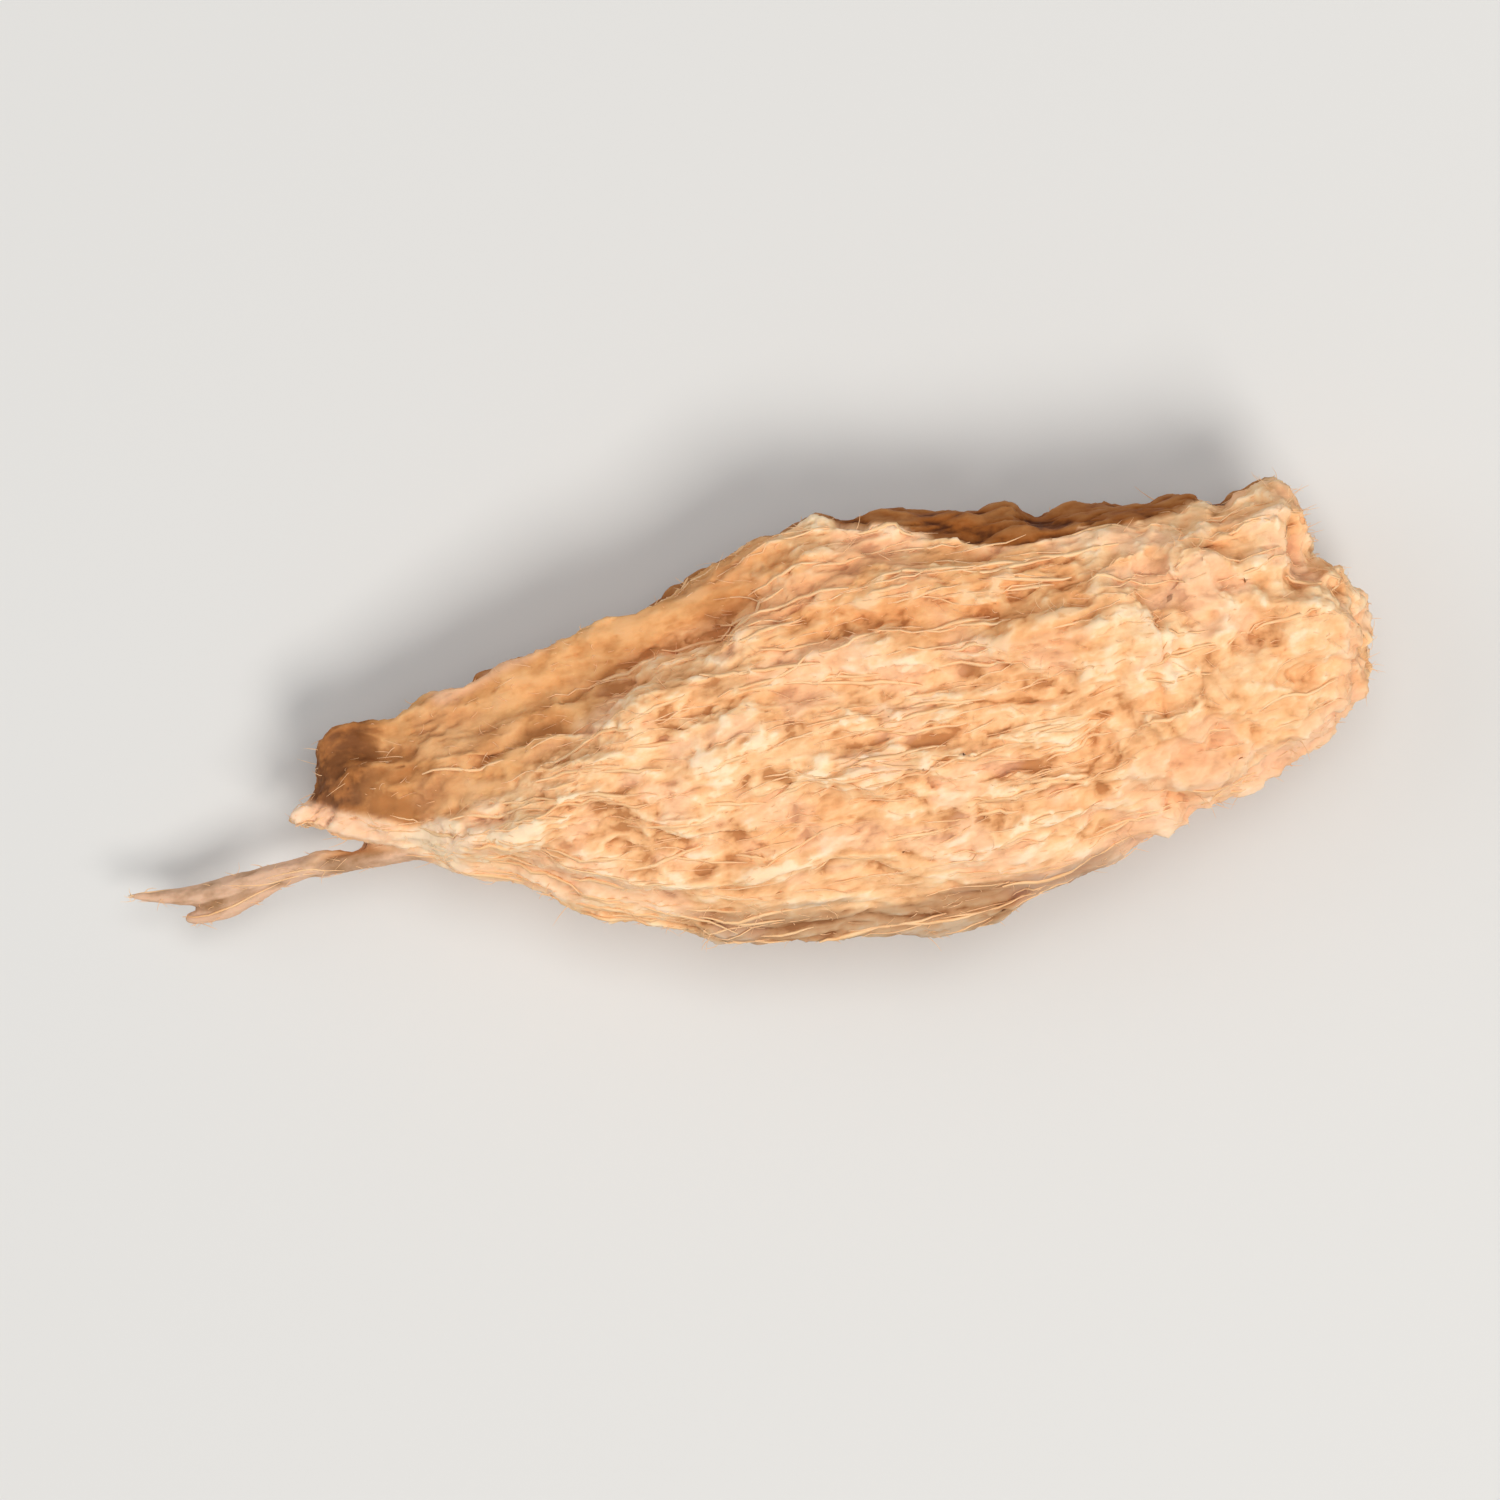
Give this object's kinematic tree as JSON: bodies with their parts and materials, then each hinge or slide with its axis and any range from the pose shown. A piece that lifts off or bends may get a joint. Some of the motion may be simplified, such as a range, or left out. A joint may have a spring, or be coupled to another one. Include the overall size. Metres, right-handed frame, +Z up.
{
  "type": "dried sweet flag root chip",
  "caption": "Splinter of dried sweet flag rhizome with a fibrous pale split face, a strip of brown skin, a torn blunt end and a forked tail of fibres; rests on a small flat cut.",
  "frame": {"origin": "middle of the bounding box at the height of the surface that the chip rests on", "axes": "+X along the grain towards the torn blunt end, +Y across the chip towards its skin side, +Z up out of the split face"},
  "size_m": [0.018, 0.0062, 0.0037],
  "materials": {
    "dried_root": "matt, fibrous and porous dried root flesh, reddish brown wrinkled skin on the far side and underside"
  },
  "bodies": {
    "root": {"root_chip": "dried_root"}
  },
  "joints": []
}
